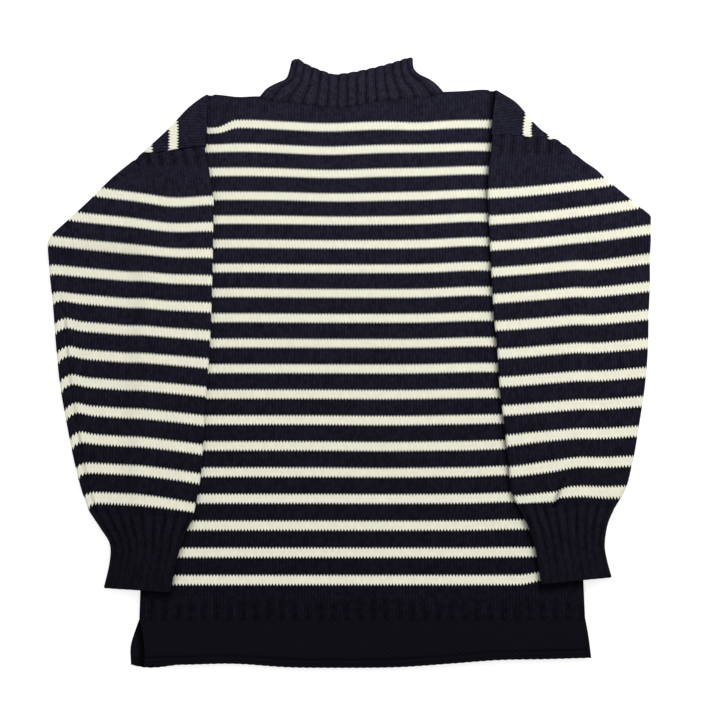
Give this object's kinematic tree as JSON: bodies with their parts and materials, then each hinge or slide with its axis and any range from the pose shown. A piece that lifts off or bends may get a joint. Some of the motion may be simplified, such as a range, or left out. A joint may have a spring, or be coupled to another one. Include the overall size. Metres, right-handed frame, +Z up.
{
  "type": "guernsey fisherman sweater",
  "caption": "Striped knitted pullover laid flat, front up, with a ribbed funnel collar, drop shoulders, sleeves folded down over the front, ribbed cuffs and a split welt.",
  "frame": {"origin": "on the surface the sweater lies on, under the middle of its outline", "axes": "+Z up out of the surface, +Y from the hem to the collar, +X to the right of someone looking down at the front with the collar at the top"},
  "size_m": [0.7308, 0.7456, 0.0129],
  "materials": {
    "striped_knit": "matt plain knit in navy wool with narrow cream stripes",
    "navy_rib": "matt two by two ribbing in navy wool",
    "navy_moss": "matt moss stitch in navy wool with a corded cast-on edge"
  },
  "bodies": {
    "root": {"back": "striped_knit", "front": "striped_knit", "sleeve_left": "striped_knit", "sleeve_right": "striped_knit", "cuff_left": "navy_rib", "cuff_right": "navy_rib", "collar": "navy_rib", "front_welt": "navy_moss", "back_welt": "navy_moss"}
  },
  "joints": []
}
